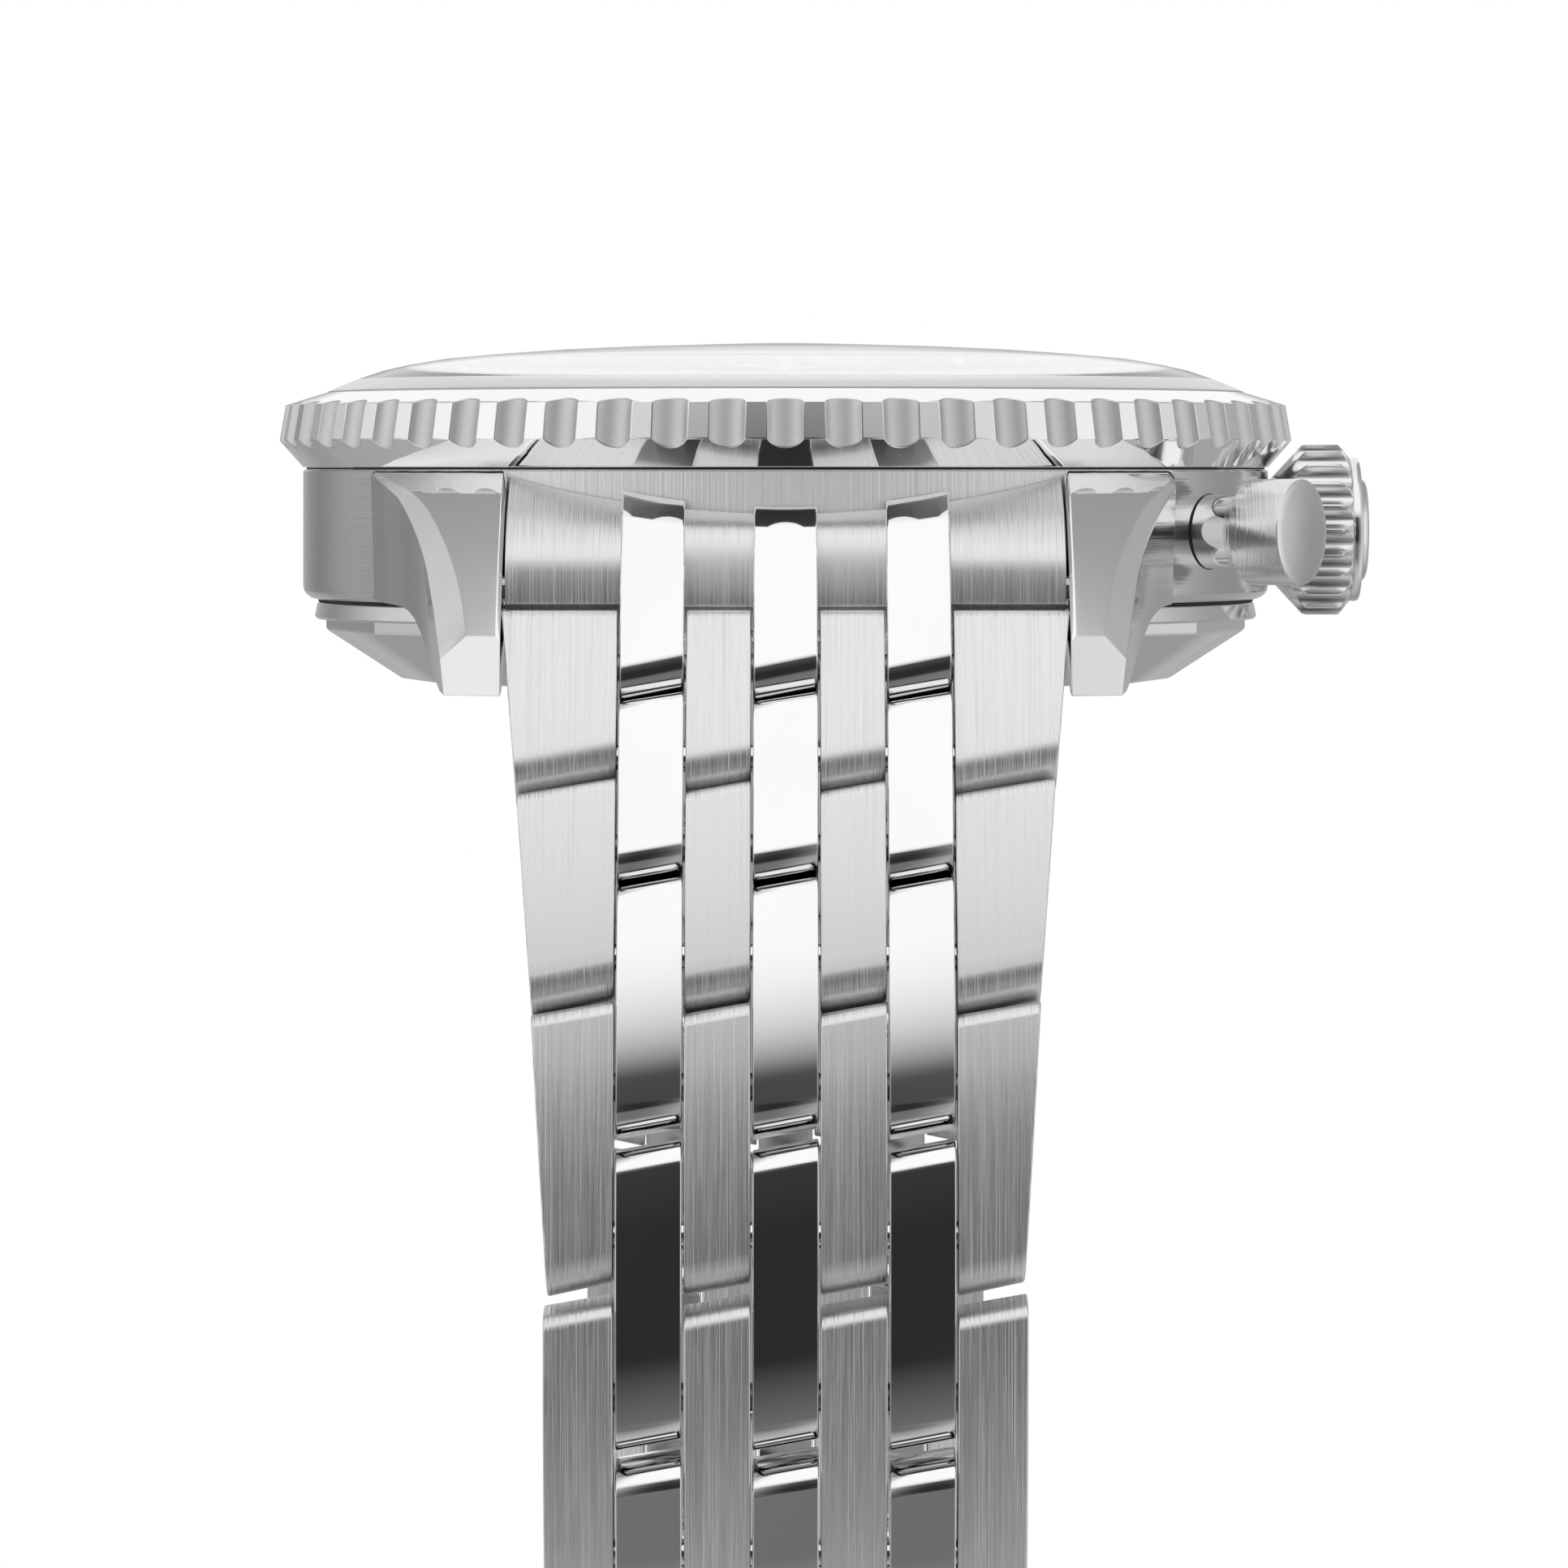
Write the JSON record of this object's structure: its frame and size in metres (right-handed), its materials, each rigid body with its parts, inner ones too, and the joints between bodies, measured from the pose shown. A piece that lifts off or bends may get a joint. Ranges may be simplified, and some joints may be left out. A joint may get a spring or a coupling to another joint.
{
  "type": "wristwatch",
  "caption": "Steel pilot's chronograph wristwatch with a fluted rotating bezel, domed crystal, push buttons and a linked bracelet closed by a folding clasp.",
  "frame": {"origin": "middle of the case back's flat face, which lies on the wrist", "axes": "+Z out through the crystal, +X towards the crown at 3 o'clock, +Y towards 12 o'clock"},
  "size_m": [0.0462, 0.064, 0.0722],
  "materials": {
    "polished_steel": "mirror polished stainless steel",
    "brushed_steel": "lengthwise brushed stainless steel",
    "hand_steel": "bright steel",
    "dial_black": "satin black lacquer",
    "crystal": "clear, coated against glare",
    "brass": "nickel plated brass",
    "seal": "moulded seal"
  },
  "bodies": {
    "case": {"case_middle": "polished_steel", "caseback": "polished_steel", "crown_tube": "polished_steel", "pusher_tube_2": "polished_steel", "pusher_tube_4": "polished_steel", "dial": "dial_black", "main_plate": "brass", "train_bridge": "brass", "spring_bar_12": "polished_steel", "spring_bar_6": "polished_steel", "end_link_12": "brushed_steel", "end_link_6": "brushed_steel", "bezel_gasket": "seal"},
    "rotating_bezel": {"bezel": "polished_steel", "crystal": "crystal", "inner_scale_ring": "dial_black"},
    "crown_pull": {"setting_lever": "polished_steel"},
    "crown_and_stem": {"crown": "polished_steel", "winding_stem": "polished_steel"},
    "upper_pusher": {"pusher_2": "polished_steel"},
    "lower_pusher": {"pusher_4": "polished_steel"},
    "hours": {"hour_hand": "hand_steel"},
    "minutes": {"centre_wheel": "brass", "minute_hand": "hand_steel"},
    "chrono_seconds": {"chrono_seconds_hand": "hand_steel"},
    "running_seconds": {"fourth_wheel": "brass", "small_seconds_hand": "hand_steel"},
    "chrono_minutes": {"minute_counter_hand": "hand_steel"},
    "chrono_hours": {"hour_counter_hand": "hand_steel"},
    "barrel": {"mainspring_barrel": "brass"},
    "third": {"third_wheel": "brass"},
    "escape": {"escape_wheel": "hand_steel"},
    "pallets": {"pallet_fork": "hand_steel"},
    "balance": {"balance_wheel": "brass"},
    "rotor": {"winding_rotor": "hand_steel"},
    "link_12_01": {"link_12_01": "brushed_steel"},
    "link_12_02": {"link_12_02": "polished_steel"},
    "link_12_03": {"link_12_03": "brushed_steel"},
    "link_12_04": {"link_12_04": "polished_steel"},
    "link_12_05": {"link_12_05": "brushed_steel"},
    "link_12_06": {"link_12_06": "polished_steel"},
    "link_12_07": {"link_12_07": "brushed_steel"},
    "link_12_08": {"link_12_08": "polished_steel"},
    "link_12_09": {"link_12_09": "brushed_steel"},
    "link_12_10": {"link_12_10": "polished_steel"},
    "link_6_01": {"link_6_01": "brushed_steel"},
    "link_6_02": {"link_6_02": "polished_steel"},
    "link_6_03": {"link_6_03": "brushed_steel"},
    "link_6_04": {"link_6_04": "polished_steel"},
    "link_6_05": {"link_6_05": "brushed_steel"},
    "link_6_06": {"link_6_06": "polished_steel"},
    "link_6_07": {"link_6_07": "brushed_steel"},
    "link_6_08": {"link_6_08": "polished_steel"},
    "link_6_09": {"link_6_09": "brushed_steel"},
    "link_6_10": {"link_6_10": "polished_steel"},
    "clasp_cover": {"clasp_cover": "brushed_steel"},
    "clasp_blade_outer": {"clasp_blade_outer": "polished_steel"},
    "clasp_blade_inner": {"clasp_blade_inner": "polished_steel"},
    "clasp_button_left": {"clasp_button_left": "polished_steel"},
    "clasp_button_right": {"clasp_button_right": "polished_steel"}
  },
  "joints": [
    {"name": "bezel_turn", "type": "hinge", "parent": "case", "child": "rotating_bezel", "pos_m": [0, 0, 0], "axis": [0, 0, -1], "continuous": true},
    {"name": "crown_pull_out", "type": "slide", "parent": "case", "child": "crown_pull", "axis": [1, 0, 0], "range_m": [0, 0.0012]},
    {"name": "crown_turn", "type": "hinge", "parent": "crown_pull", "child": "crown_and_stem", "pos_m": [0, 0, 0.00635], "axis": [1, 0, 0], "continuous": true},
    {"name": "upper_pusher_press", "type": "slide", "parent": "case", "child": "upper_pusher", "axis": [-0.848, -0.5299, 0], "range_m": [0, 0.0009], "stiffness_N_per_m": 300, "springref_m": -0.001},
    {"name": "lower_pusher_press", "type": "slide", "parent": "case", "child": "lower_pusher", "axis": [-0.848, 0.5299, 0], "range_m": [0, 0.0009], "stiffness_N_per_m": 300, "springref_m": -0.001},
    {"name": "minutes_turn", "type": "hinge", "parent": "case", "child": "minutes", "pos_m": [0, 0, 0], "axis": [0, 0, -1], "continuous": true},
    {"name": "hours_turn", "type": "hinge", "parent": "case", "child": "hours", "pos_m": [0, 0, 0], "axis": [0, 0, -1], "continuous": true},
    {"name": "third_turn", "type": "hinge", "parent": "case", "child": "third", "pos_m": [-0.00408, 0.00245, 0], "axis": [0, 0, -1], "continuous": true},
    {"name": "running_seconds_turn", "type": "hinge", "parent": "case", "child": "running_seconds", "pos_m": [-0.0076, 0, 0], "axis": [0, 0, -1], "continuous": true},
    {"name": "barrel_turn", "type": "hinge", "parent": "case", "child": "barrel", "pos_m": [0.00145, 0.00541, 0], "axis": [0, 0, -1], "continuous": true},
    {"name": "escape_turn", "type": "hinge", "parent": "case", "child": "escape", "pos_m": [-0.00571, -0.00327, 0], "axis": [0, 0, -1], "continuous": true},
    {"name": "chrono_hours_turn", "type": "hinge", "parent": "case", "child": "chrono_hours", "pos_m": [0, -0.0076, 0], "axis": [0, 0, -1], "continuous": true},
    {"name": "chrono_minutes_turn", "type": "hinge", "parent": "case", "child": "chrono_minutes", "pos_m": [0.0076, 0, 0], "axis": [0, 0, -1], "continuous": true},
    {"name": "chrono_seconds_turn", "type": "hinge", "parent": "case", "child": "chrono_seconds", "pos_m": [0, 0, 0], "axis": [0, 0, -1], "continuous": true},
    {"name": "balance_swing", "type": "hinge", "parent": "case", "child": "balance", "pos_m": [-0.00292, -0.00926, 0], "axis": [0, 0, 1], "range_deg": [-135, 135]},
    {"name": "pallet_rock", "type": "hinge", "parent": "case", "child": "pallets", "pos_m": [-0.00472, -0.0054, 0], "axis": [0, 0, 1], "range_deg": [-5, 5]},
    {"name": "rotor_turn", "type": "hinge", "parent": "case", "child": "rotor", "pos_m": [0, 0, 0], "axis": [0, 0, 1], "continuous": true},
    {"name": "link_12_01_bend", "type": "hinge", "parent": "case", "child": "link_12_01", "pos_m": [0, 0.0232, 0.00109], "axis": [-1, 0, 0], "range_deg": [-11, 0]},
    {"name": "link_12_02_bend", "type": "hinge", "parent": "link_12_01", "child": "link_12_02", "pos_m": [0, 0.02497, -0.00238], "axis": [-1, 0, 0], "range_deg": [-7, 0]},
    {"name": "link_12_03_bend", "type": "hinge", "parent": "link_12_02", "child": "link_12_03", "pos_m": [0, 0.02649, -0.00581], "axis": [-1, 0, 0], "range_deg": [-8, 0]},
    {"name": "link_12_04_bend", "type": "hinge", "parent": "link_12_03", "child": "link_12_04", "pos_m": [0, 0.028, -0.00994], "axis": [-1, 0, 0], "range_deg": [-8, 0]},
    {"name": "link_12_05_bend", "type": "hinge", "parent": "link_12_04", "child": "link_12_05", "pos_m": [0, 0.0294, -0.01485], "axis": [-1, 0, 0], "range_deg": [-11.5, 0]},
    {"name": "link_12_06_bend", "type": "hinge", "parent": "link_12_05", "child": "link_12_06", "pos_m": [0, 0.03024, -0.02043], "axis": [-1, 0, 0], "range_deg": [-12.5, 0]},
    {"name": "link_12_07_bend", "type": "hinge", "parent": "link_12_06", "child": "link_12_07", "pos_m": [0, 0.03024, -0.02663], "axis": [-1, 0, 0], "range_deg": [-13, 0]},
    {"name": "link_12_08_bend", "type": "hinge", "parent": "link_12_07", "child": "link_12_08", "pos_m": [0, 0.02927, -0.03276], "axis": [-1, 0, 0], "range_deg": [-14, 0]},
    {"name": "link_12_09_bend", "type": "hinge", "parent": "link_12_08", "child": "link_12_09", "pos_m": [0, 0.02725, -0.03862], "axis": [-1, 0, 0], "range_deg": [-15, 0]},
    {"name": "link_12_10_bend", "type": "hinge", "parent": "link_12_09", "child": "link_12_10", "pos_m": [0, 0.02415, -0.04399], "axis": [-1, 0, 0], "range_deg": [-16, 0]},
    {"name": "link_6_01_bend", "type": "hinge", "parent": "case", "child": "link_6_01", "pos_m": [0, -0.0232, 0.00109], "axis": [1, 0, 0], "range_deg": [-11, 0]},
    {"name": "link_6_02_bend", "type": "hinge", "parent": "link_6_01", "child": "link_6_02", "pos_m": [0, -0.02497, -0.00238], "axis": [1, 0, 0], "range_deg": [-7, 0]},
    {"name": "link_6_03_bend", "type": "hinge", "parent": "link_6_02", "child": "link_6_03", "pos_m": [0, -0.02649, -0.00581], "axis": [1, 0, 0], "range_deg": [-8, 0]},
    {"name": "link_6_04_bend", "type": "hinge", "parent": "link_6_03", "child": "link_6_04", "pos_m": [0, -0.028, -0.00994], "axis": [1, 0, 0], "range_deg": [-8, 0]},
    {"name": "link_6_05_bend", "type": "hinge", "parent": "link_6_04", "child": "link_6_05", "pos_m": [0, -0.0294, -0.01485], "axis": [1, 0, 0], "range_deg": [-11.5, 0]},
    {"name": "link_6_06_bend", "type": "hinge", "parent": "link_6_05", "child": "link_6_06", "pos_m": [0, -0.03024, -0.02043], "axis": [1, 0, 0], "range_deg": [-12.5, 0]},
    {"name": "link_6_07_bend", "type": "hinge", "parent": "link_6_06", "child": "link_6_07", "pos_m": [0, -0.03024, -0.02663], "axis": [1, 0, 0], "range_deg": [-13, 0]},
    {"name": "link_6_08_bend", "type": "hinge", "parent": "link_6_07", "child": "link_6_08", "pos_m": [0, -0.02927, -0.03276], "axis": [1, 0, 0], "range_deg": [-14, 0]},
    {"name": "link_6_09_bend", "type": "hinge", "parent": "link_6_08", "child": "link_6_09", "pos_m": [0, -0.02725, -0.03862], "axis": [1, 0, 0], "range_deg": [-15, 0]},
    {"name": "link_6_10_bend", "type": "hinge", "parent": "link_6_09", "child": "link_6_10", "pos_m": [0, -0.02415, -0.04399], "axis": [1, 0, 0], "range_deg": [-16, 0]},
    {"name": "clasp_cover_bend", "type": "hinge", "parent": "link_12_10", "child": "clasp_cover", "pos_m": [0, 0.02, -0.0486], "axis": [-1, 0, 0], "range_deg": [-12, 0]},
    {"name": "clasp_unfold", "type": "hinge", "parent": "clasp_cover", "child": "clasp_blade_outer", "pos_m": [0, -0.01504, -0.05189], "axis": [1, 0, 0], "range_deg": [0, 90]},
    {"name": "inner_blade_unfold", "type": "hinge", "parent": "clasp_blade_outer", "child": "clasp_blade_inner", "pos_m": [0, 0.01376, -0.05177], "axis": [1, 0, 0], "range_deg": [-90, 0]},
    {"name": "clasp_button_left_press", "type": "slide", "parent": "clasp_cover", "child": "clasp_button_left", "axis": [1, 0, 0], "range_m": [0, 0.0005], "stiffness_N_per_m": 150, "springref_m": -0.0005},
    {"name": "clasp_button_right_press", "type": "slide", "parent": "clasp_cover", "child": "clasp_button_right", "axis": [-1, 0, 0], "range_m": [0, 0.0005], "stiffness_N_per_m": 150, "springref_m": -0.0005}
  ],
  "couplings": [
    {"joint": "hours_turn", "follows": "minutes_turn", "ratio": 0.083333},
    {"joint": "third_turn", "follows": "minutes_turn", "ratio": -6},
    {"joint": "running_seconds_turn", "follows": "minutes_turn", "ratio": 60},
    {"joint": "escape_turn", "follows": "minutes_turn", "ratio": -480},
    {"joint": "barrel_turn", "follows": "minutes_turn", "ratio": -0.16667},
    {"joint": "chrono_minutes_turn", "follows": "chrono_hours_turn", "ratio": 24},
    {"joint": "chrono_seconds_turn", "follows": "chrono_hours_turn", "ratio": 720},
    {"joint": "pallet_rock", "follows": "balance_swing", "ratio": -0.037037}
  ]
}
